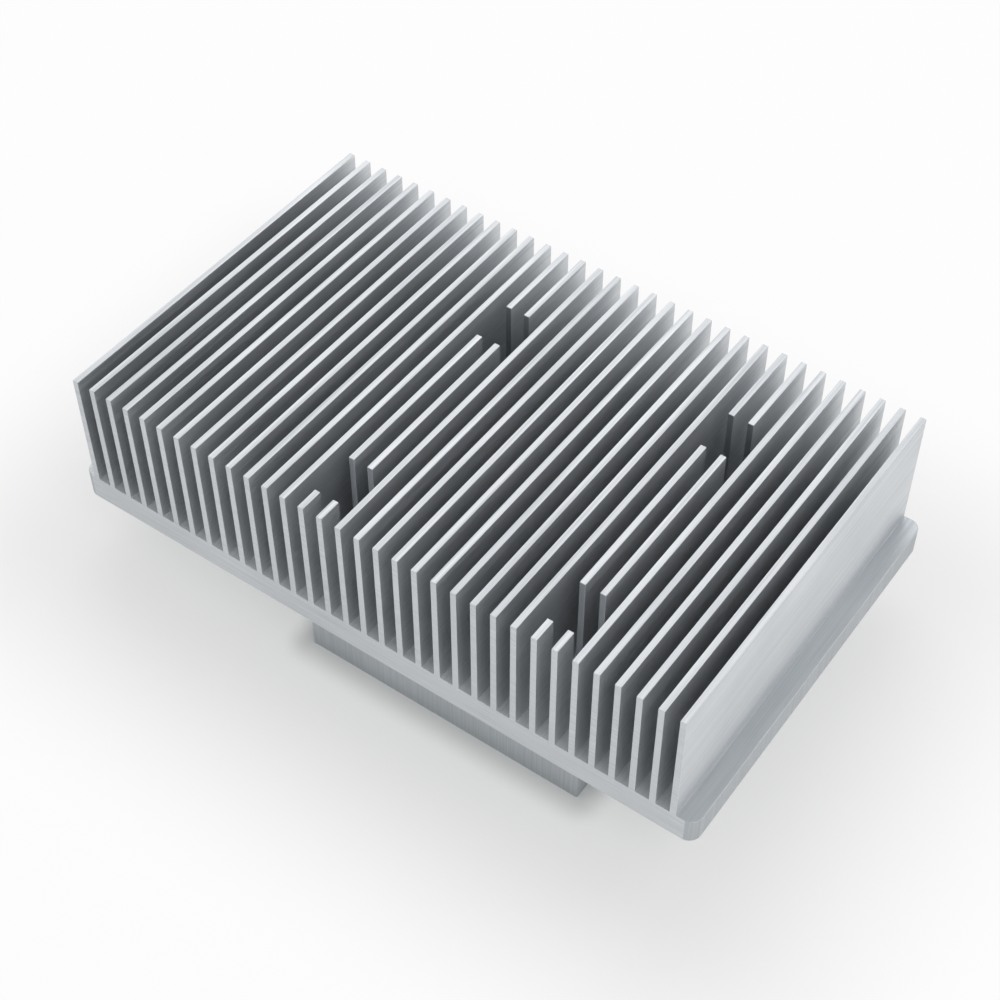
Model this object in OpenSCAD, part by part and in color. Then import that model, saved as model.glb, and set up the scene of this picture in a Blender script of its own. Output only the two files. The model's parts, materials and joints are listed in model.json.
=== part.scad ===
// Finned heat spreader, machined from one piece of aluminium: a plate with upright corners
// rounded, a row of straight fins that taper towards their tips, four screw wells milled
// through the fins, and a square contact pad that stands below the plate.
// Millimetres. +X runs along the row of fins, +Y along each fin and +Z up to the fin tips.
// The origin lies under the middle of the plate, on the underside of the contact pad.

/* [Plate] */
// Depth of the plate, front to back
plate_depth = 50; // [45:0.5:80]
// Thickness of the plate
plate_thickness = 3.5; // [2:0.1:8]
// Radius of the plate's four upright corners
plate_corner_radius = 1.5; // [0.5:0.1:3]
// Bare plate to the left of the first fin
left_margin = 1.8; // [1:0.1:10]
// Bare plate to the right of the last fin
right_margin = 2.4; // [1:0.1:10]

/* [Fins] */
// Number of fins in the row
fin_count = 33; // [28:1:48]
// Distance from one fin to the next
fin_pitch = 2.5; // [2:0.1:4]
// Height of the fins above the plate
fin_height = 16; // [6:0.5:40]
// Thickness of a fin at the plate
fin_root = 0.8; // [0.6:0.02:1.2]
// Thickness of a fin at its tip
fin_tip = 0.74; // [0.4:0.02:1.2]

/* [Screw wells] */
// Whole fins to the left of the first column of wells
fins_before_wells = 13; // [2:1:18]
// Whole fins between the two columns of wells
fins_between_wells = 10; // [4:1:15]
// Fins that each well interrupts
fins_per_well = 2; // [1:1:3]
// Length of a well along the fins
well_length = 5.75; // [5:0.05:9]
// From the plate's front edge to the middle of the front wells
front_well_setback = 5.85; // [5:0.05:10]
// From the middle of the front wells to the middle of the rear wells
well_row_spacing = 29.4; // [15:0.1:35]
// Thread diameter of the screws
screw_diameter = 2.5; // [2:0.5:3.5]
// Play of a screw in its hole, on the diameter
screw_clearance = 0.4; // [0.2:0.1:0.6]

/* [Contact pad] */
// Height of the pad below the plate
pad_height = 7.5; // [1:0.5:15]
// Pad beyond the screw holes, to the left and right
pad_side_margin = 3.5; // [3:0.1:8]
// Pad beyond the screw holes, to the front and back
pad_end_margin = 3.8; // [3:0.1:4.9]
// Radius of the pad's four upright corners
pad_corner_radius = 0.2; // [0.1:0.1:2.5]

/* [Hidden] */
$fn = 64;

// How far the fins and the pad run into the plate, so that all three are one solid
root_depth = 0.5;
// How far a cutter runs past the surface that it breaks through
overrun = 1;

plate_bottom = pad_height;
plate_top = plate_bottom + plate_thickness;
plate_length = left_margin + fin_root + (fin_count - 1) * fin_pitch + right_margin;
plate_front = -plate_depth / 2;
// A corner is never rounder than the bare plate beside the end fins
corner_radius = min(plate_corner_radius, left_margin, right_margin);

first_fin_x = -plate_length / 2 + left_margin + fin_root / 2;
function fin_x(index) = first_fin_x + index * fin_pitch;

// A well sits over the middle of the fins that it interrupts
column_step = fins_per_well + fins_between_wells;
middle_of_well = (fins_per_well - 1) / 2;
well_columns = [for (column = [0, 1]) fin_x(fins_before_wells + column * column_step + middle_of_well)];
well_rows = [for (row = [0, 1]) plate_front + front_well_setback + row * well_row_spacing];
well_centres = [for (x = well_columns, y = well_rows) [x, y]];
// The cutter runs down the middle of the gaps on both sides of those fins
well_width = fins_per_well * fin_pitch;
screw_hole_diameter = screw_diameter + screw_clearance;

pad_size = [
    well_columns[1] - well_columns[0] + 2 * pad_side_margin,
    well_row_spacing + 2 * pad_end_margin
];
pad_centre = [(well_columns[0] + well_columns[1]) / 2, (well_rows[0] + well_rows[1]) / 2];

// Rectangle about the origin, with true arcs at its corners
module rounded_rectangle(size, radius) {
    square([size.x - 2 * radius, size.y], center = true);
    square([size.x, size.y - 2 * radius], center = true);
    for (side = [-1, 1], end = [-1, 1])
        translate([side * (size.x / 2 - radius), end * (size.y / 2 - radius)])
            circle(r = radius);
}

module plate() {
    translate([0, 0, plate_bottom])
        linear_extrude(height = plate_thickness)
            rounded_rectangle([plate_length, plate_depth], corner_radius);
}

// Section of one fin, standing on the plate's top at y = 0, with a straight foot below it
module fin_section() {
    polygon([
        [-fin_root / 2, -root_depth],
        [fin_root / 2, -root_depth],
        [fin_root / 2, 0],
        [fin_tip / 2, fin_height],
        [-fin_tip / 2, fin_height],
        [-fin_root / 2, 0]
    ]);
}

// The whole row of fins, from the plate's front face to its back face
module fin_row() {
    translate([0, 0, plate_top])
        rotate([90, 0, 0])
            linear_extrude(height = plate_depth, center = true)
                for (index = [0 : fin_count - 1])
                    translate([fin_x(index), 0])
                        fin_section();
}

// Cutters that clear the fins away over each screw, down past the foot of the fins
module well_cutters() {
    cutter_bottom = plate_top - root_depth - overrun;
    cutter_top = plate_top + fin_height + overrun;
    for (centre = well_centres)
        translate([centre.x - well_width / 2, centre.y - well_length / 2, cutter_bottom])
            cube([well_width, well_length, cutter_top - cutter_bottom]);
}

module contact_pad() {
    translate([pad_centre.x, pad_centre.y, 0])
        linear_extrude(height = pad_height + root_depth)
            rounded_rectangle(pad_size, pad_corner_radius);
}

// Clearance holes, straight down from the wells through the plate and the pad
module screw_holes() {
    for (centre = well_centres)
        translate([centre.x, centre.y, -overrun])
            cylinder(d = screw_hole_diameter, h = plate_top + 2 * overrun);
}

module heat_spreader() {
    color([0.86, 0.87, 0.88])
        difference() {
            union() {
                plate();
                contact_pad();
                difference() {
                    fin_row();
                    well_cutters();
                }
            }
            screw_holes();
        }
}

heat_spreader();
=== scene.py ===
"""Finned aluminium heat spreader on a pale studio floor.

The body is modelled as it is machined: a block is rounded at its corners, fins are raised from it, the
fins are left out over four screw wells, a contact pad is raised below, four screw holes are drilled, and
every edge is broken. Each kind of face then gets the marks of its own cut under one clear anodised
finish, and a tone that paints light or shade on it: the channel floors are painted paler, the bare plate
beside the fins, the ends and the sides are painted darker, and the breaks along the plate's upper edges
take a paler tone as a painted highlight.
"""
import json
import logging
import math
from dataclasses import dataclass, field
from enum import Enum
from typing import Any, Callable

import bmesh
import bpy
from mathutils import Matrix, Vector


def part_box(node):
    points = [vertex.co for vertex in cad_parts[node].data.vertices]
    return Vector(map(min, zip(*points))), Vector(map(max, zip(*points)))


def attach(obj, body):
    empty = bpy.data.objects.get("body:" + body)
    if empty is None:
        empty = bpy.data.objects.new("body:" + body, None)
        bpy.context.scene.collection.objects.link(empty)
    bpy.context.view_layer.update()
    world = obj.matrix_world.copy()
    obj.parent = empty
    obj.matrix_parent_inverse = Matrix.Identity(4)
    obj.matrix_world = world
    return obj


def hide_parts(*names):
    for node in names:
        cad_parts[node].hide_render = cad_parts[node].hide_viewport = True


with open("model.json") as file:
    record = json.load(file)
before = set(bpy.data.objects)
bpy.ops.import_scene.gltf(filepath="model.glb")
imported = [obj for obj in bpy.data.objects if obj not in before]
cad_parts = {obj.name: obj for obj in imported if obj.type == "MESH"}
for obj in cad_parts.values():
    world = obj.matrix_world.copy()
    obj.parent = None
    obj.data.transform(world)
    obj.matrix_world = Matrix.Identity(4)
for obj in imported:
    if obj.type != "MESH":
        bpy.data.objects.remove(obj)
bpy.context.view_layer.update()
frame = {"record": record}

LOG = logging.getLogger("heat_spreader")
NODE = "heat_spreader"
BODY = "root"
MM = 0.001
# Two places closer than this are the same place
TOUCH = 0.01 * MM
# A face points a way when that much of its normal does, which is within 45 degrees
FACING = math.sqrt(0.5)
# A wave texture of scale one repeats after this length
WAVE_PERIOD = 2 * math.pi / 20


def linear(hex_colour: str) -> tuple[float, float, float, float]:
    """Turn an sRGB hex colour into the linear colour that shaders take.

    Args:
        hex_colour: Six hex digits after a hash sign.

    Returns:
        Linear red, green, blue and an alpha of one.
    """
    channels = [int(hex_colour[start:start + 2], 16) / 255 for start in (1, 3, 5)]
    red, green, blue = [c / 12.92 if c <= 0.04045 else ((c + 0.055) / 1.055) ** 2.4 for c in channels]
    return (red, green, blue, 1.0)


def add_node(
    tree: bpy.types.NodeTree, kind: str, settings: dict[str, Any] | None = None, **inputs: Any
) -> bpy.types.Node:
    """Add one node, with its settings, its constant inputs and its links.

    Args:
        tree: The node tree that the node joins.
        kind: Blender's name for the type of node.
        settings: Properties of the node itself.
        inputs: Values or output sockets, by the input's name with underscores for spaces, or by the
            letter i and the input's number where several inputs share a name.

    Returns:
        The new node.
    """
    node = tree.nodes.new(kind)
    for name, value in (settings or {}).items():
        setattr(node, name, value)
    for name, value in inputs.items():
        key = int(name[1:]) if name[1:].isdigit() else name.replace("_", " ")
        if isinstance(value, bpy.types.NodeSocket):
            tree.links.new(value, node.inputs[key])
        else:
            node.inputs[key].default_value = value
    return node


class Pick(Enum):
    """What a selection in edit mode is made of."""

    VERTICES = "VERT"
    EDGES = "EDGE"
    FACES = "FACE"


def pick(piece: bpy.types.Object, kind: Pick, wanted: Callable[[Any], bool]) -> None:
    """Select in edit mode every element that passes a test, and nothing else.

    Args:
        piece: The mesh object that is in edit mode.
        kind: Vertices, edges or faces.
        wanted: The test, by an element's place or normal.
    """
    bpy.ops.mesh.select_mode(type=kind.value)
    bpy.ops.mesh.select_all(action="DESELECT")
    shape = bmesh.from_edit_mesh(piece.data)
    elements = {Pick.VERTICES: shape.verts, Pick.EDGES: shape.edges, Pick.FACES: shape.faces}[kind]
    for element in [element for element in elements if wanted(element)]:
        element.select_set(True)
    bmesh.update_edit_mesh(piece.data)


def near(first: float, second: float) -> bool:
    """Say whether two lengths are the same to within a hundredth of a millimetre."""
    return abs(first - second) < TOUCH


def is_upright(edge: bmesh.types.BMEdge) -> bool:
    """Say whether an edge runs straight up and down."""
    start, end = (vertex.co for vertex in edge.verts)
    return near(start.x, end.x) and near(start.y, end.y)


class MachinedFace(Enum):
    """The kind of face that a cut left, in the order of the body's material slots.

    Attributes:
        FIN: Sides and tops of the fins, and the breaks along the plate's upper edges, whose paler tone is a
            painted highlight.
        CHANNEL: Floors between the fins and in the screw wells.
        LEDGE: Bare plate beside the fins.
        END: Front and back ends of the fins and the plate.
        SIDE: Upright sides of the plate, the pad, the wells and the holes.
        UNDERSIDE: Underside of the plate.
        CONTACT: Contact face of the pad.
    """

    FIN = 0
    CHANNEL = 1
    LEDGE = 2
    END = 3
    SIDE = 4
    UNDERSIDE = 5
    CONTACT = 6


@dataclass(frozen=True)
class StraightMarks:
    """Straight tool marks, as a die, a saw or an end mill leaves them.

    Attributes:
        size: Length of one mark along X, Y and Z, in metres. A face shows the two that lie in it.
        depth: Depth of the marks, in metres.
        layers: Finer layers of noise in the marks.
        layer_share: Strength of each layer beside the one before.
    """

    size: tuple[float, float, float]
    depth: float
    layers: float = 3.0
    layer_share: float = 0.6

    def draw(self, tree: bpy.types.NodeTree, place: bpy.types.NodeSocket) -> bpy.types.NodeSocket:
        """Draw the marks as noise that is stretched along the cut.

        Args:
            tree: The material's node tree.
            place: Object coordinates.

        Returns:
            The socket that gives the marks' height, from zero to one.
        """
        per_mark = tuple(1 / length for length in self.size)
        stretched = add_node(tree, "ShaderNodeMapping", Vector=place, Scale=per_mark)
        streaks = add_node(
            tree, "ShaderNodeTexNoise",
            Vector=stretched.outputs["Vector"], Scale=1.0, Detail=self.layers, Roughness=self.layer_share,
        )
        return streaks.outputs["Fac"]


@dataclass(frozen=True)
class ArcMarks:
    """Tool marks in arcs about one point, as a fly cutter leaves them.

    Attributes:
        spacing: From one arc to the next, in metres.
        centre: The point that the arcs go round, in metres.
        depth: Depth of the marks, in metres.
        waver: How much the arcs waver.
        layers: Finer layers of noise in the waver.
    """

    spacing: float
    centre: tuple[float, float, float]
    depth: float
    waver: float = 0.6
    layers: float = 2.0

    def draw(self, tree: bpy.types.NodeTree, place: bpy.types.NodeSocket) -> bpy.types.NodeSocket:
        """Draw the marks as rings about an upright axis through the centre.

        Args:
            tree: The material's node tree.
            place: Object coordinates.

        Returns:
            The socket that gives the marks' height, from zero to one.
        """
        centred = add_node(
            tree, "ShaderNodeMapping", {"vector_type": "TEXTURE"}, Vector=place, Location=self.centre
        )
        rings = add_node(
            tree, "ShaderNodeTexWave", {"wave_type": "RINGS", "rings_direction": "Z"},
            Vector=centred.outputs["Vector"], Scale=WAVE_PERIOD / self.spacing,
            Distortion=self.waver, Detail=self.layers,
        )
        return rings.outputs["Fac"]


@dataclass(frozen=True)
class AnodisedAluminium:
    """Clear anodised aluminium: a satin silver metal over the marks of one tool.

    Anodising etches the metal first, so that the marks stay but turn soft, and the highlights spread. The
    oxide layer is clear, and shows faint clouds and streaks of tone.

    Attributes:
        name: The material's name.
        marks: The tool's marks.
        roughness: Roughness half-way up the marks.
        colour: The metal at its palest.
        shaded_colour: The metal in the dark parts of its clouds and streaks.
        roughness_spread: How much the roughness changes from there to the top or bottom of the marks.
        streak_share: How much of the change of tone follows the marks, and not the clouds.
        usual_tones: The noise is mostly within this range, which is stretched to the whole change of tone.
        cloud_size: Width of a cloud in the oxide layer, in metres.
        grain_size: Width of a grain of the etched metal, in metres.
        grain_depth: Depth of the grain, in metres.
        layers: Finer layers of noise in the clouds and in the grain.
    """

    name: str
    marks: StraightMarks | ArcMarks
    roughness: float
    colour: str
    shaded_colour: str
    roughness_spread: float = 0.09
    streak_share: float = 0.6
    usual_tones: tuple[float, float] = (0.3, 0.7)
    cloud_size: float = 14 * MM
    grain_size: float = 0.12 * MM
    grain_depth: float = 0.004 * MM
    layers: float = 2.0

    def material(self) -> bpy.types.Material:
        """Build the finish as a material.

        Returns:
            The new material.
        """
        made = bpy.data.materials.new(self.name)
        made.use_nodes = True
        tree = made.node_tree
        tree.nodes.clear()
        place = add_node(tree, "ShaderNodeTexCoord").outputs["Object"]
        marks = self.marks.draw(tree, place)
        lowest, highest = self.usual_tones

        clouds = add_node(
            tree, "ShaderNodeTexNoise", Vector=place, Scale=1 / self.cloud_size, Detail=self.layers
        )
        tone = add_node(tree, "ShaderNodeMix", i0=self.streak_share, i2=clouds.outputs["Fac"], i3=marks)
        shade = add_node(
            tree, "ShaderNodeMapRange", Value=tone.outputs["Result"], From_Min=lowest, From_Max=highest
        )
        colour = add_node(
            tree, "ShaderNodeMix", {"data_type": "RGBA"},
            i0=shade.outputs["Result"], i6=linear(self.shaded_colour), i7=linear(self.colour),
        )
        satin = add_node(
            tree, "ShaderNodeMapRange", Value=marks, From_Min=lowest, From_Max=highest,
            To_Min=self.roughness + self.roughness_spread, To_Max=self.roughness - self.roughness_spread,
        )
        grain = add_node(
            tree, "ShaderNodeTexNoise", Vector=place, Scale=1 / self.grain_size, Detail=self.layers
        )
        etched = add_node(
            tree, "ShaderNodeBump", Strength=1.0, Distance=self.grain_depth, Height=grain.outputs["Fac"]
        )
        cut = add_node(
            tree, "ShaderNodeBump", Strength=1.0, Distance=self.marks.depth, Height=marks,
            Normal=etched.outputs["Normal"],
        )
        metal = add_node(
            tree, "ShaderNodeBsdfPrincipled", Metallic=1.0, Base_Color=colour.outputs["Result"],
            Roughness=satin.outputs["Result"], Normal=cut.outputs["Normal"],
        )
        add_node(tree, "ShaderNodeOutputMaterial", Surface=metal.outputs["BSDF"])
        return made


@dataclass(frozen=True)
class FloorPatch:
    """A rectangle of floor whose sides run along X and Y.

    Attributes:
        left: X of its left side, in metres.
        right: X of its right side, in metres.
        front: Y of its front, in metres.
        back: Y of its back, in metres.
    """

    left: float
    right: float
    front: float
    back: float

    def distance_past(self, tree: bpy.types.NodeTree, place: bpy.types.NodeSocket) -> bpy.types.NodeSocket:
        """Work out how far a point of the floor lies past the rectangle, which is nothing inside it.

        Args:
            tree: The floor material's node tree.
            place: Object coordinates.

        Returns:
            The socket that gives the distance, in metres.
        """
        middle = Vector((self.left + self.right, self.front + self.back, 0)) / 2
        half_size = Vector((self.right - self.left, self.back - self.front, 0)) / 2
        nothing = Vector()
        steps = (("SUBTRACT", middle), ("ABSOLUTE", nothing), ("SUBTRACT", half_size), ("MAXIMUM", nothing))
        for operation, length in steps:
            step = add_node(tree, "ShaderNodeVectorMath", {"operation": operation}, i0=place, i1=length)
            place = step.outputs["Vector"]
        distance = add_node(tree, "ShaderNodeVectorMath", {"operation": "LENGTH"}, i0=place)
        return distance.outputs["Value"]


@dataclass
class HeatSpreader:
    """The one-piece body, from the plate up to the fin tips and down to the contact pad.

    All lengths are in metres.

    Attributes:
        low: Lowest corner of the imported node.
        high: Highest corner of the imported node.
        holes: The record's screw pattern.
        plate_thickness: Thickness of the plate under the fins.
        plate_corner: Radius of the plate's upright corners.
        left_margin: Bare plate to the left of the first fin.
        fin_count: Number of fins in the row.
        fin_pitch: From the middle of one fin to the next.
        fin_root: Thickness of a fin where it meets the plate.
        fin_tip: Thickness of a fin at its top.
        fins_per_well: Number of fins that a screw well interrupts.
        well_length: Length of a well along the fins.
        pad_height: Height of the contact pad below the plate.
        pad_side_margin: Pad beyond the screw holes, to the left and right.
        pad_end_margin: Pad beyond the screw holes, to the front and back.
        pad_corner: Radius of the pad's upright corners.
        edge_break: Width of the break along every sharp edge.
        break_segments: Flat faces that stand for one broken edge.
        plate_corner_segments: Flat faces that stand for one round corner of the plate.
        pad_corner_segments: Flat faces that stand for one round corner of the pad.
        hole_sides: Flat faces that stand for the wall of one screw hole.
        flat_angle: An edge that turns less than this is flat.
        round_angle: An edge that turns less than this is part of a round corner.
        sharp_angle: An edge that turns more than this is sharp.
        cutter_offset: From the contact pad's middle to the axis of the fly cutter.
        piece: The mesh object, once it is built.
    """

    low: Vector
    high: Vector
    holes: dict[str, Any]
    plate_thickness: float = 3.5 * MM
    plate_corner: float = 1.5 * MM
    left_margin: float = 1.8 * MM
    fin_count: int = 33
    fin_pitch: float = 2.5 * MM
    fin_root: float = 0.8 * MM
    fin_tip: float = 0.74 * MM
    fins_per_well: int = 2
    well_length: float = 5.75 * MM
    pad_height: float = 7.5 * MM
    pad_side_margin: float = 3.5 * MM
    pad_end_margin: float = 3.8 * MM
    pad_corner: float = 0.2 * MM
    edge_break: float = 0.1 * MM
    break_segments: int = 2
    plate_corner_segments: int = 12
    pad_corner_segments: int = 6
    hole_sides: int = 48
    flat_angle: float = math.radians(0.1)
    round_angle: float = math.radians(20)
    sharp_angle: float = math.radians(40)
    cutter_offset: float = 70 * MM
    piece: bpy.types.Object = field(init=False)

    @property
    def plate_bottom(self) -> float:
        """Height of the plate's underside."""
        return self.low.z + self.pad_height

    @property
    def plate_top(self) -> float:
        """Height of the floor between the fins."""
        return self.plate_bottom + self.plate_thickness

    @property
    def fin_places(self) -> list[float]:
        """X of the middle of each fin."""
        first = self.low.x + self.left_margin + self.fin_root / 2
        return [first + index * self.fin_pitch for index in range(self.fin_count)]

    @property
    def hole_columns(self) -> list[float]:
        """X of the two columns of screw holes."""
        half = self.holes["dims"]["spacing_x_mm"] * MM / 2
        return [self.holes["pos_m"][0] - half, self.holes["pos_m"][0] + half]

    @property
    def hole_rows(self) -> list[float]:
        """Y of the two rows of screw holes."""
        half = self.holes["dims"]["spacing_y_mm"] * MM / 2
        return [self.holes["pos_m"][1] - half, self.holes["pos_m"][1] + half]

    @property
    def pad_sides(self) -> list[float]:
        """X of the contact pad's left and right sides."""
        left, right = self.hole_columns
        return [left - self.pad_side_margin, right + self.pad_side_margin]

    @property
    def pad_ends(self) -> list[float]:
        """Y of the contact pad's front and back."""
        front, rear = self.hole_rows
        return [front - self.pad_end_margin, rear + self.pad_end_margin]

    @property
    def foot(self) -> FloorPatch:
        """The floor that the contact pad stands on."""
        return FloorPatch(*self.pad_sides, *self.pad_ends)

    @property
    def cover(self) -> FloorPatch:
        """The floor that the whole body covers, seen from above."""
        return FloorPatch(self.low.x, self.high.x, self.low.y, self.high.y)

    def in_well(self, x: float, y: float) -> bool:
        """Say whether a point, seen from above, lies in one of the screw wells.

        Args:
            x: The point's X.
            y: The point's Y.

        Returns:
            True inside a well.
        """
        half_width = self.fins_per_well * self.fin_pitch / 2
        in_column = any(abs(x - column) < half_width for column in self.hole_columns)
        in_row = any(abs(y - row) < self.well_length / 2 for row in self.hole_rows)
        return in_column and in_row

    def build(self) -> bpy.types.Object:
        """Model the whole body.

        Returns:
            The finished mesh object.
        """
        self.piece = self.add_blank()
        bpy.ops.object.mode_set(mode="EDIT")
        self.round_plate_corners()
        self.mark_out()
        self.raise_fins()
        self.raise_pad()
        self.wipe_marks()
        self.round_pad_corners()
        bpy.ops.object.mode_set(mode="OBJECT")
        self.drill_holes()
        self.break_edges()
        return self.piece

    def add_blank(self) -> bpy.types.Object:
        """Add the block that the plate is made from, with its place in its mesh.

        Returns:
            The new object.
        """
        bpy.ops.object.select_all(action="DESELECT")
        middle = (self.low + self.high) / 2
        bpy.ops.mesh.primitive_cube_add(
            size=1.0,
            location=(middle.x, middle.y, (self.plate_bottom + self.plate_top) / 2),
            scale=(self.high.x - self.low.x, self.high.y - self.low.y, self.plate_thickness),
        )
        blank = bpy.context.active_object
        blank.name = blank.data.name = "machined_body"
        bpy.ops.object.transform_apply(location=True, rotation=True, scale=True)
        return blank

    def round_plate_corners(self) -> None:
        """Round the plate's four upright corners."""
        pick(self.piece, Pick.EDGES, is_upright)
        bpy.ops.mesh.bevel(offset=self.plate_corner, segments=self.plate_corner_segments, affect="EDGES")

    def mark_out(self) -> None:
        """Cut the outlines of the fins, the wells and the pad into the plate's faces."""
        across = [place + side * self.fin_root / 2 for place in self.fin_places for side in (-1, 1)]
        along = [row + side * self.well_length / 2 for row in self.hole_rows for side in (-1, 1)]
        cuts = [((x, 0, 0), (1, 0, 0)) for x in across + self.pad_sides]
        cuts += [((0, y, 0), (0, 1, 0)) for y in along + self.pad_ends]
        for point, normal in cuts:
            bpy.ops.mesh.select_all(action="SELECT")
            bpy.ops.mesh.bisect(plane_co=point, plane_no=normal)

    def raise_fins(self) -> None:
        """Extrude the fins from the plate's top, except over the wells, and thin them to their tips."""
        places = self.fin_places

        def is_fin_foot(face: bmesh.types.BMFace) -> bool:
            """Say whether a face of the plate's top is the foot of a fin."""
            middle = face.calc_center_median()
            on_fin = any(abs(middle.x - place) < self.fin_root / 2 for place in places)
            return near(middle.z, self.plate_top) and on_fin and not self.in_well(middle.x, middle.y)

        pick(self.piece, Pick.FACES, is_fin_foot)
        rise = (0, 0, self.high.z - self.plate_top)
        bpy.ops.mesh.extrude_region_move(TRANSFORM_OT_translate={"value": rise})
        for place in places:
            self.thin_tip(place)

    def thin_tip(self, place: float) -> None:
        """Thin one fin from its root to its tip.

        Args:
            place: X of the fin's middle.
        """
        pick(
            self.piece, Pick.VERTICES,
            lambda vertex: near(vertex.co.z, self.high.z) and abs(vertex.co.x - place) < self.fin_root,
        )
        bpy.ops.transform.resize(
            value=(self.fin_tip / self.fin_root, 1, 1), center_override=(place, 0, self.high.z)
        )

    def raise_pad(self) -> None:
        """Extrude the contact pad from the plate's underside."""
        left, right = self.pad_sides
        front, back = self.pad_ends

        def is_pad_foot(face: bmesh.types.BMFace) -> bool:
            """Say whether a face of the plate's underside is the foot of the pad."""
            middle = face.calc_center_median()
            inside = left < middle.x < right and front < middle.y < back
            return near(middle.z, self.plate_bottom) and inside

        pick(self.piece, Pick.FACES, is_pad_foot)
        bpy.ops.mesh.extrude_region_move(TRANSFORM_OT_translate={"value": (0, 0, -self.pad_height)})

    def wipe_marks(self) -> None:
        """Dissolve the lines that nothing was raised from, so that flat faces are whole again."""
        pick(self.piece, Pick.EDGES, lambda edge: edge.calc_face_angle() < self.flat_angle)
        bpy.ops.mesh.dissolve_edges()

    def round_pad_corners(self) -> None:
        """Round the contact pad's four upright corners."""
        pick(
            self.piece, Pick.EDGES,
            lambda edge: is_upright(edge) and any(near(vertex.co.z, self.low.z) for vertex in edge.verts),
        )
        bpy.ops.mesh.bevel(offset=self.pad_corner, segments=self.pad_corner_segments, affect="EDGES")

    def drill_holes(self) -> None:
        """Drill the screw holes straight through the plate and the pad."""
        bpy.ops.object.select_all(action="DESELECT")
        drills = []
        full_depth = self.plate_top - self.low.z
        for x in self.hole_columns:
            for y in self.hole_rows:
                # A drill twice as long as the hole comes out at both ends
                bpy.ops.mesh.primitive_cylinder_add(
                    vertices=self.hole_sides,
                    radius=self.holes["dims"]["hole_r_mm"] * MM,
                    depth=2 * full_depth,
                    location=(x, y, self.low.z + full_depth / 2),
                )
                drills.append(bpy.context.active_object)
        for drill in drills:
            drill.select_set(True)
        bpy.ops.object.join()
        cutter = bpy.context.active_object
        self.apply("BOOLEAN", object=cutter, operation="DIFFERENCE", solver="EXACT")
        bpy.data.objects.remove(cutter)

    def break_edges(self) -> None:
        """Break every sharp edge a little, as deburring does, and shade the round corners smooth."""
        self.apply(
            "BEVEL", width=self.edge_break, segments=self.break_segments,
            limit_method="ANGLE", angle_limit=self.sharp_angle,
        )
        bpy.ops.object.shade_smooth_by_angle(angle=self.round_angle)
        self.apply("WEIGHTED_NORMAL", keep_sharp=True)

    def apply(self, kind: str, **settings: Any) -> None:
        """Add a modifier to the body and apply it. The body is then selected, alone, and active.

        Args:
            kind: Blender's name for the type of modifier.
            settings: The modifier's own properties.
        """
        bpy.ops.object.select_all(action="DESELECT")
        self.piece.select_set(True)
        bpy.context.view_layer.objects.active = self.piece
        modifier = self.piece.modifiers.new(kind.title(), kind)
        for name, value in settings.items():
            setattr(modifier, name, value)
        bpy.ops.object.modifier_apply(modifier=modifier.name)

    def cut_of(self, middle: Vector, normal: Vector) -> MachinedFace:
        """Say which cut left a face as it is.

        Args:
            middle: The face's middle.
            normal: The face's outward normal.

        Returns:
            The kind of machined face.
        """
        # The first step of an edge break, within a quarter of its width of the end, still belongs to the
        # end face, but a round corner doesn't
        at_end = min(middle.y - self.low.y, self.high.y - middle.y) < self.edge_break / 4
        on_pad = middle.z - self.low.z < self.edge_break
        beside_fins = not self.fin_places[0] < middle.x < self.fin_places[-1]
        if normal.z < -FACING:
            return MachinedFace.CONTACT if on_pad else MachinedFace.UNDERSIDE
        if normal.z > FACING and near(middle.z, self.plate_top):
            return MachinedFace.LEDGE if beside_fins else MachinedFace.CHANNEL
        if abs(normal.y) > FACING:
            return MachinedFace.END if at_end else MachinedFace.SIDE
        if middle.z < self.plate_top - self.edge_break:
            return MachinedFace.SIDE
        # The fins, and the breaks along the plate's upper edges, which take the fins' paler tone as a
        # painted highlight along the edge
        return MachinedFace.FIN

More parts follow.
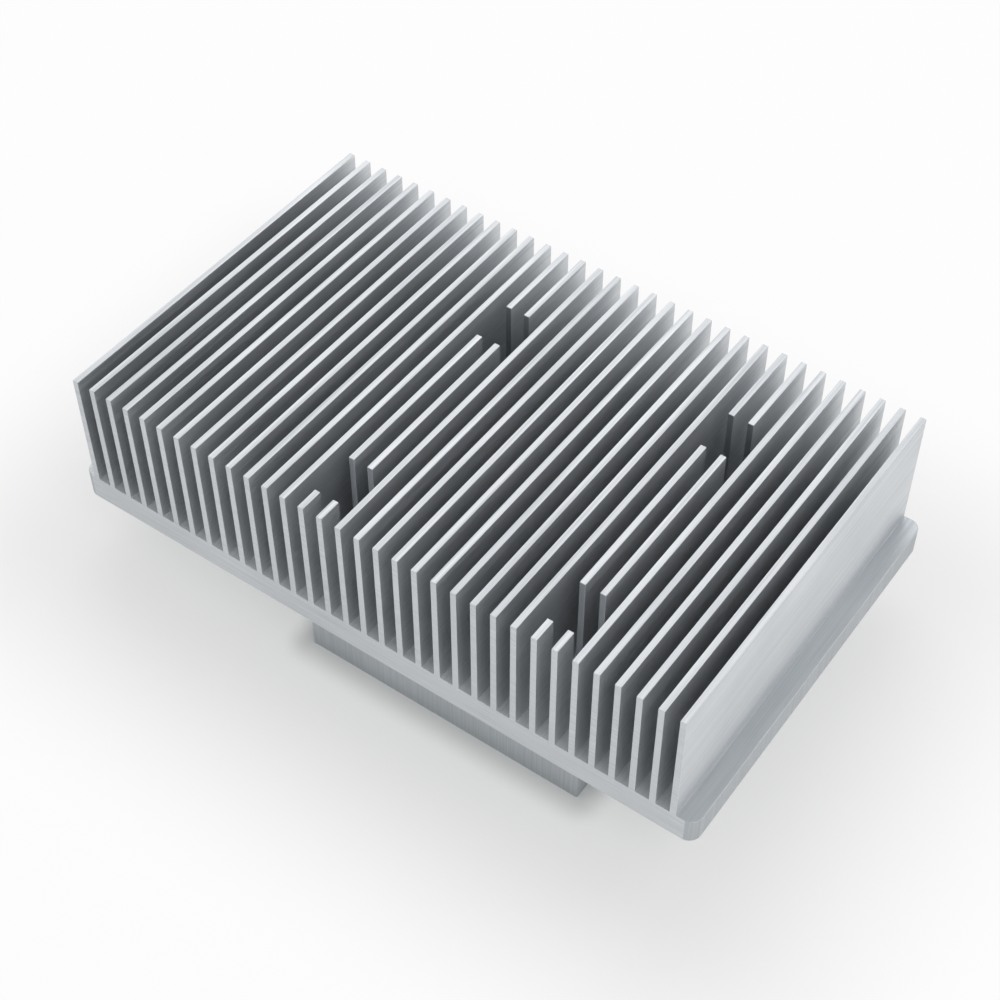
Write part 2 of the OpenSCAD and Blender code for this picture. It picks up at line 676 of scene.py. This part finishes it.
    def finishes(self) -> dict[MachinedFace, AnodisedAluminium]:
        """Choose the marks that each cut leaves, and the tone of painted light or shade for each kind of
        face.

        The marks are drawn a little coarser than life, so that they show in the picture.

        Returns:
            The finish of each kind of machined face.
        """
        pad_x, pad_y, _ = self.holes["pos_m"]
        return {
            # The die draws long fine lines along the fins
            MachinedFace.FIN: AnodisedAluminium(
                "extruded anodised aluminium",
                StraightMarks(size=(0.3 * MM, 30 * MM, 0.3 * MM), depth=0.04 * MM),
                roughness=0.55, colour="#E6E8EA", shaded_colour="#D2D5D8",
            ),
            # The channel floors are painted paler than the fins, as painted light where shade falls between
            # them, and are more matt
            MachinedFace.CHANNEL: AnodisedAluminium(
                "etched anodised aluminium",
                StraightMarks(size=(0.3 * MM, 30 * MM, 1 * MM), depth=0.04 * MM),
                roughness=0.72, colour="#F2F3F4", shaded_colour="#E4E6E8",
            ),
            # The tip of the end mill runs along the bare plate beside the fins, which is painted darker, as
            # the fins' shade painted on it
            MachinedFace.LEDGE: AnodisedAluminium(
                "end-milled anodised aluminium",
                StraightMarks(size=(0.25 * MM, 15 * MM, 1 * MM), depth=0.03 * MM),
                roughness=0.46, colour="#CED2D5", shaded_colour="#BCC1C5",
            ),
            # The saw leaves level lines across the ends of the fins and the plate, whose tone is painted a
            # shade darker as painted shade
            MachinedFace.END: AnodisedAluminium(
                "sawn anodised aluminium",
                StraightMarks(size=(12 * MM, 1 * MM, 0.25 * MM), depth=0.04 * MM),
                roughness=0.56, colour="#DDE0E2", shaded_colour="#C9CDD0",
            ),
            # The flank of the end mill leaves upright lines and more gloss on the sides of the plate, the
            # pad and the wells, which are painted darker still, as painted shade
            MachinedFace.SIDE: AnodisedAluminium(
                "side-milled anodised aluminium",
                StraightMarks(size=(0.25 * MM, 0.25 * MM, 15 * MM), depth=0.03 * MM),
                roughness=0.50, colour="#C5C9CD", shaded_colour="#B5BABE",
            ),
            # The face mill goes to and fro under the plate, and leaves straight tracks
            MachinedFace.UNDERSIDE: AnodisedAluminium(
                "face-milled anodised aluminium",
                StraightMarks(size=(25 * MM, 0.5 * MM, 1 * MM), depth=0.03 * MM),
                roughness=0.50, colour="#DDE0E2", shaded_colour="#C9CDD0",
            ),
            # The fly cutter sweeps wide arcs over the contact pad, the flattest and glossiest face
            MachinedFace.CONTACT: AnodisedAluminium(
                "fly-cut anodised aluminium",
                ArcMarks(
                    spacing=0.6 * MM, centre=(pad_x - self.cutter_offset, pad_y, 0.0), depth=0.005 * MM
                ),
                roughness=0.38, colour="#E6E8EA", shaded_colour="#DADDDF",
            ),
        }

    def dress(self) -> None:
        """Give each face the marks that its own cut leaves and its tone of painted light or shade, and set
        the body in the frame.
        """
        finishes = self.finishes()
        for cut in MachinedFace:
            self.piece.data.materials.append(finishes[cut].material())
        for face in self.piece.data.polygons:
            face.material_index = self.cut_of(face.center, face.normal).value
        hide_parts(NODE)
        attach(self.piece, BODY)


@dataclass(frozen=True)
class WhitePaper:
    """Matt white studio paper: it shows soft shadows and no gloss, and runs out to plain white.

    What the camera, gloss and glass see of it is lit and shaded where the object stands, and mixed with
    more and more plain white further out. The light that it throws on the object is only what falls on
    it.

    Attributes:
        foot: The floor that the object stands on.
        cover: The floor that the object covers, seen from above.
        colour: The paper itself.
        contact_width: How far past the foot the contact shadow shows, in metres.
        fade_width: How far past the cover the white has grown to its full share, in metres.
        near_glow: Share of plain white under the object.
        far_glow: Share of plain white where it has grown to its full share.
    """

    foot: FloorPatch
    cover: FloorPatch
    colour: str = "#F4F4F2"
    contact_width: float = 4 * MM
    fade_width: float = 32 * MM
    near_glow: float = 0.40
    far_glow: float = 0.93

    def material(self) -> bpy.types.Material:
        """Build the paper as a material.

        Returns:
            The new material.
        """
        made = bpy.data.materials.new("matt white paper")
        made.use_nodes = True
        tree = made.node_tree
        tree.nodes.clear()
        rays = add_node(tree, "ShaderNodeLightPath").outputs
        seen = rays["Is Camera Ray"]
        for ray in ("Is Glossy Ray", "Is Transmission Ray"):
            either = add_node(tree, "ShaderNodeMath", {"operation": "MAXIMUM"}, i0=seen, i1=rays[ray])
            seen = either.outputs["Value"]
        place = add_node(tree, "ShaderNodeTexCoord").outputs["Object"]
        glow = add_node(
            tree, "ShaderNodeMapRange", {"interpolation_type": "SMOOTHSTEP"},
            Value=self.cover.distance_past(tree, place), From_Max=self.fade_width,
            To_Min=self.near_glow, To_Max=self.far_glow,
        )
        open_floor = add_node(
            tree, "ShaderNodeMapRange", {"interpolation_type": "SMOOTHSTEP"},
            Value=self.foot.distance_past(tree, place), From_Max=self.contact_width,
        )
        share = seen
        for factor in (glow, open_floor):
            product = add_node(
                tree, "ShaderNodeMath", {"operation": "MULTIPLY"}, i0=share, i1=factor.outputs["Result"]
            )
            share = product.outputs["Value"]
        lit = add_node(tree, "ShaderNodeBsdfDiffuse", Color=linear(self.colour))
        white = add_node(tree, "ShaderNodeEmission", Strength=1.0)
        paper = add_node(
            tree, "ShaderNodeMixShader",
            i0=share, i1=lit.outputs["BSDF"], i2=white.outputs["Emission"],
        )
        add_node(tree, "ShaderNodeOutputMaterial", Surface=paper.outputs["Shader"])
        return made


@dataclass(frozen=True)
class Softbox:
    """One square lamp that faces the object.

    Attributes:
        name: The lamp's name.
        offset: Its place from the object's middle, in metres.
        size: Length of its side, in metres.
        power: Its power in watts.
    """

    name: str
    offset: tuple[float, float, float]
    size: float
    power: float

    def build(self, middle: Vector) -> None:
        """Add the lamp to the scene.

        Args:
            middle: The object's middle.
        """
        lamp = bpy.data.lights.new(self.name, "AREA")
        lamp.shape = "SQUARE"
        lamp.size = self.size
        lamp.energy = self.power
        holder = bpy.data.objects.new(self.name, lamp)
        bpy.context.scene.collection.objects.link(holder)
        holder.location = middle + Vector(self.offset)
        holder.rotation_mode = "QUATERNION"
        holder.rotation_quaternion = (-Vector(self.offset)).to_track_quat("-Z", "Y")


@dataclass
class Studio:
    """Pale floor and soft lamps in a room with white walls and a dimmer ceiling.

    Attributes:
        middle: The object's middle, which the lamps face.
        floor_height: Height of the surface that the object stands on.
        floor_finish: What the floor is made of.
        floor_size: Length of the floor's side, in metres.
        room_colour: Colour of the room's light.
        wall_strength: Brightness of the room level with the object.
        ceiling_strength: Brightness of the room overhead.
        ceiling_from: Upward part of a direction from which the ceiling begins.
        softboxes: The lamps.
    """

    middle: Vector
    floor_height: float
    floor_finish: WhitePaper
    floor_size: float = 2.4
    room_colour: str = "#FAFBFC"
    wall_strength: float = 1.00
    ceiling_strength: float = 0.50
    ceiling_from: float = 0.8
    softboxes: tuple[Softbox, ...] = (
        Softbox("key_softbox", offset=(-0.40, 0.60, 0.80), size=0.80, power=2.3),
        Softbox("fill_softbox", offset=(0.70, -0.30, 0.80), size=0.60, power=1.4),
        Softbox("rear_softbox", offset=(0.40, 0.70, 0.60), size=0.50, power=0.8),
    )

    def build(self) -> None:
        """Add the floor, the lamps and the room's light."""
        self.lay_floor()
        for softbox in self.softboxes:
            softbox.build(self.middle)
        self.light_room()

    def lay_floor(self) -> None:
        """Lay the floor as one wide sheet of paper."""
        bpy.ops.object.select_all(action="DESELECT")
        bpy.ops.mesh.primitive_plane_add(size=self.floor_size, location=(0, 0, self.floor_height))
        floor = bpy.context.active_object
        floor.name = floor.data.name = "studio_floor"
        floor.data.materials.append(self.floor_finish.material())

    def light_room(self) -> None:
        """Light the room from its walls, less and less towards the ceiling."""
        room = bpy.data.worlds.new("white_room")
        room.use_nodes = True
        tree = room.node_tree
        tree.nodes.clear()
        direction = add_node(tree, "ShaderNodeTexCoord").outputs["Generated"]
        height = add_node(tree, "ShaderNodeSeparateXYZ", Vector=direction)
        strength = add_node(
            tree, "ShaderNodeMapRange", Value=height.outputs["Z"], From_Min=0.0, From_Max=self.ceiling_from,
            To_Min=self.wall_strength, To_Max=self.ceiling_strength,
        )
        light = add_node(
            tree, "ShaderNodeBackground",
            Color=linear(self.room_colour), Strength=strength.outputs["Result"],
        )
        add_node(tree, "ShaderNodeOutputWorld", Surface=light.outputs["Background"])
        bpy.context.scene.world = room


@dataclass
class DrawingCamera:
    """The viewpoint of the drawing, fitted to the corners of its fins, plate and pad.

    Attributes:
        aim: The point on the optical axis that is nearest the body's middle.
        azimuth: Degrees round from straight in front, to the right.
        elevation: Degrees above the horizon.
        distance: From the camera to that point, in metres.
        lens: Focal length in millimetres.
        sensor: Width of the picture behind the lens, in millimetres.
        clip_ratio: How many times nearer and further than that point the camera still sees.
    """

    aim: Vector = field(default_factory=lambda: Vector((1.06, -1.07, 12.17)) * MM)
    azimuth: float = 35.44
    elevation: float = 48.23
    distance: float = 223.5 * MM
    lens: float = 69.3
    sensor: float = 36.0
    clip_ratio: float = 100.0

    def build(self) -> None:
        """Add the camera and make it the scene's own."""
        data = bpy.data.cameras.new("drawing_camera")
        data.lens = self.lens
        data.sensor_width = self.sensor
        data.clip_start = self.distance / self.clip_ratio
        data.clip_end = self.distance * self.clip_ratio
        camera = bpy.data.objects.new("drawing_camera", data)
        bpy.context.scene.collection.objects.link(camera)
        turn, rise = math.radians(self.azimuth), math.radians(self.elevation)
        back = Vector((math.sin(turn) * math.cos(rise), -math.cos(turn) * math.cos(rise), math.sin(rise)))
        camera.location = self.aim + back * self.distance
        camera.rotation_mode = "QUATERNION"
        camera.rotation_quaternion = (-back).to_track_quat("-Z", "Y")
        bpy.context.scene.camera = camera


def main() -> None:
    """Build the body, the studio and the camera, in that order."""
    logging.basicConfig(level=logging.INFO, format="%(name)s: %(message)s")
    low, high = (Vector(corner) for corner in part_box(NODE))
    holes = next(mount for mount in frame["record"]["mounts"] if mount["kind"] == "bolt_pattern")

    spreader = HeatSpreader(low, high, holes)
    piece = spreader.build()
    spreader.dress()
    LOG.info("%s has %d faces", piece.name, len(piece.data.polygons))

    Studio((low + high) / 2, low.z, WhitePaper(spreader.foot, spreader.cover)).build()
    DrawingCamera().build()
    bpy.context.scene.view_settings.view_transform = "Standard"
    LOG.info("studio and camera are in place")


if __name__ == "__main__":
    main()
